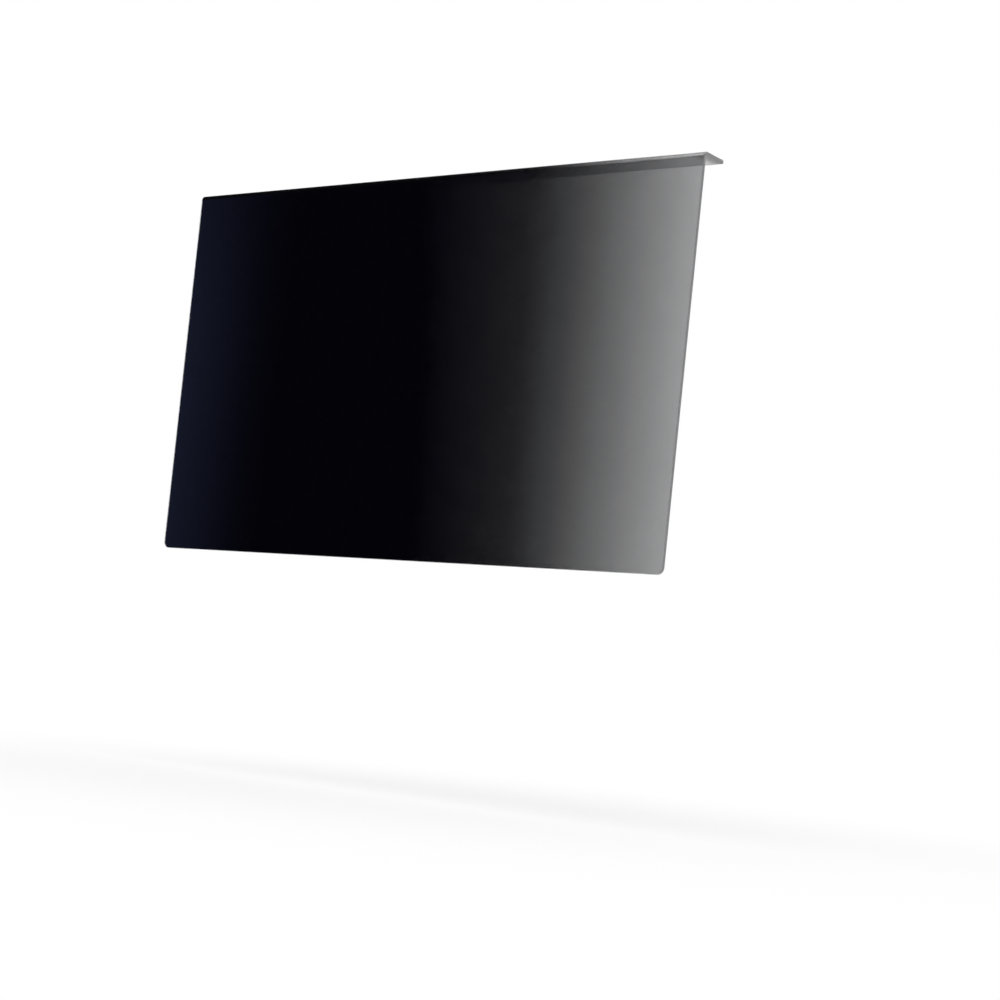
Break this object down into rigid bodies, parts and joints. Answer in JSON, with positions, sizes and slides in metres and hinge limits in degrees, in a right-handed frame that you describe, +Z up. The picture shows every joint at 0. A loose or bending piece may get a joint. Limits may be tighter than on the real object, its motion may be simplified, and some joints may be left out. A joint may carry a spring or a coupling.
{
  "type": "monitor privacy filter",
  "caption": "Hanging privacy filter: one dark see-through sheet with rounded lower corners, bent back along its top into a lip that hooks over a monitor's upper edge.",
  "frame": {"origin": "middle of the flat underside of the lip, which rests on the top edge of the monitor", "axes": "+X along the width, to the right of someone facing the filter; +Y from the front face back towards the monitor; +Z up"},
  "size_m": [0.55, 0.0299, 0.335],
  "materials": {
    "dark_acrylic": "polished dark acrylic with upright micro-louvres, see-through from the front and black from the side"
  },
  "bodies": {
    "root": {"filter_sheet": "dark_acrylic"}
  },
  "joints": []
}
